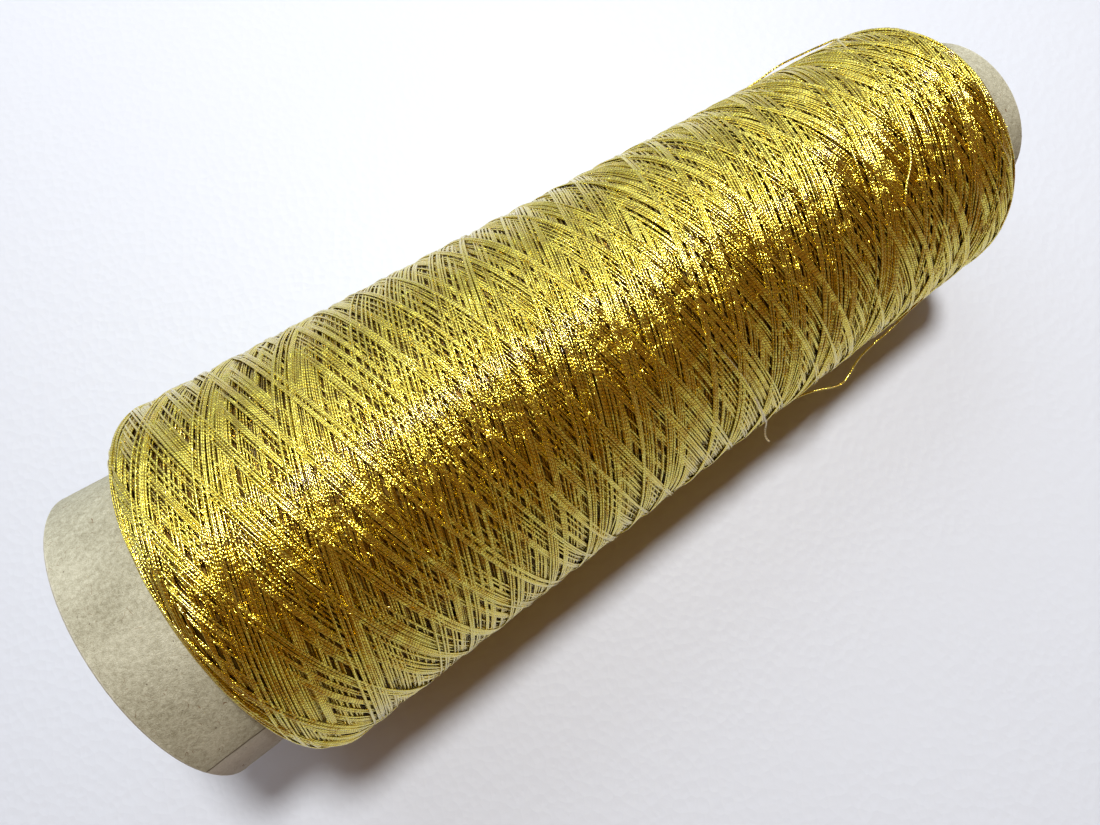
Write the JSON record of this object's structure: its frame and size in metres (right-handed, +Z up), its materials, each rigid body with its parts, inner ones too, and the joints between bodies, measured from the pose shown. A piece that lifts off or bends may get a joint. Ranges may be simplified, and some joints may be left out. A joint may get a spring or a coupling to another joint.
{
  "type": "spool of thread",
  "caption": "Tapered paper cone cross-wound with metallic thread, lying on its side, with a bare collar at each end and a hollow core that goes over a spindle.",
  "frame": {"origin": "on the surface that the spool lies on, under the middle of its bounding box", "axes": "+Z up, +X towards the small end of the cone, +Y to its left; the cone's own axis lies in the XZ plane and dips 3.075 degrees towards +X, because the spool lies on the side of its tapered package"},
  "size_m": [0.172, 0.0632, 0.0628],
  "materials": {
    "paperboard": "matte",
    "gold_thread": "satin",
    "pale_thread": "satin"
  },
  "bodies": {
    "root": {"cone_inner_ply": "paperboard", "cone_middle_plies": "paperboard", "cone_outer_ply": "paperboard", "thread_inner_layers": "gold_thread", "thread_outer_layers": "gold_thread", "base_edge_turns": "gold_thread", "raised_strand": "gold_thread", "crossing_strand": "gold_thread", "hanging_loop": "gold_thread", "cut_end": "pale_thread"}
  },
  "joints": []
}
